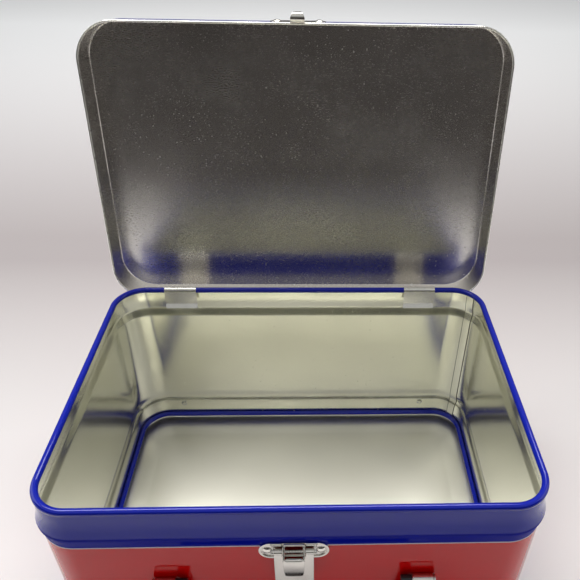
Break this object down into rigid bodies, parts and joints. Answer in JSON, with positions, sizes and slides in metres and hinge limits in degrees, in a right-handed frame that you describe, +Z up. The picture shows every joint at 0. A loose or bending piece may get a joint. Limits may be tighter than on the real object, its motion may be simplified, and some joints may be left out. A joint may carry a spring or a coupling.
{
  "type": "tin lunch box",
  "caption": "Tin lunch box with rounded corners: open-top body with a hinged lid that stands open, a draw latch with a wire loop, and a swinging carry handle on the front.",
  "frame": {"origin": "centre of the tray's flat underside, on the table, midway between the ends and between the front and rear walls", "axes": "+Z up, +X to the right as seen from the front, the latch and handle face -Y and the hinges are at +Y"},
  "size_m": [0.2084, 0.1904, 0.2482],
  "materials": {
    "body_band": "glossy lithographed tinplate outside, bare varnished tin inside",
    "bottom_tray": "glossy lithographed tinplate outside, cream varnish inside",
    "lid_shell": "glossy lithographed tinplate outside, worn bare tin inside",
    "left_hinge_body_leaf": "bright tin plated",
    "right_hinge_body_leaf": "bright tin plated",
    "left_hinge_lid_leaf": "bright tin plated",
    "right_hinge_lid_leaf": "bright tin plated",
    "left_hinge_pin": "drawn wire",
    "right_hinge_pin": "drawn wire",
    "latch_base": "nickel plated, lightly worn",
    "latch_rivets": "polished domes",
    "latch_pin": "drawn wire",
    "latch_lever": "nickel plated, lightly worn",
    "latch_bail": "nickel plated wire",
    "catch_plate": "nickel plated, lightly worn",
    "catch_rivets": "polished domes",
    "left_handle_bracket": "nickel plated",
    "right_handle_bracket": "nickel plated",
    "bracket_rivets": "polished domes",
    "handle": "smooth moulded",
    "left_handle_pin": "turned",
    "right_handle_pin": "turned"
  },
  "bodies": {
    "body": {"body_band": "body_band", "bottom_tray": "bottom_tray", "left_hinge_body_leaf": "left_hinge_body_leaf", "right_hinge_body_leaf": "right_hinge_body_leaf", "left_hinge_pin": "left_hinge_pin", "right_hinge_pin": "right_hinge_pin", "latch_base": "latch_base", "latch_rivets": "latch_rivets", "latch_pin": "latch_pin", "left_handle_bracket": "left_handle_bracket", "right_handle_bracket": "right_handle_bracket", "bracket_rivets": "bracket_rivets", "left_handle_pin": "left_handle_pin", "right_handle_pin": "right_handle_pin"},
    "lid": {"lid_shell": "lid_shell", "left_hinge_lid_leaf": "left_hinge_lid_leaf", "right_hinge_lid_leaf": "right_hinge_lid_leaf", "catch_plate": "catch_plate", "catch_rivets": "catch_rivets"},
    "lever": {"latch_lever": "latch_lever"},
    "bail": {"latch_bail": "latch_bail"},
    "carry_handle": {"handle": "handle"}
  },
  "joints": [
    {"name": "lid_hinge", "type": "hinge", "parent": "body", "child": "lid", "pos_m": [0, 0.0744, 0.0953], "axis": [1, 0, 0], "range_deg": [0, 96.9]},
    {"name": "latch_lever", "type": "hinge", "parent": "body", "child": "lever", "pos_m": [0, -0.0738, 0.0842], "axis": [-1, 0, 0], "range_deg": [0, 75]},
    {"name": "latch_bail", "type": "hinge", "parent": "lever", "child": "bail", "pos_m": [0, -0.07655, 0.0826], "axis": [1, 0, 0], "range_deg": [0, 120]},
    {"name": "handle_swing", "type": "hinge", "parent": "body", "child": "carry_handle", "pos_m": [0, -0.0744, 0.0632], "axis": [-1, 0, 0], "range_deg": [0, 150]}
  ],
  "couplings": [
    {"joint": "latch_bail", "follows": "latch_lever", "ratio": 1.6}
  ]
}
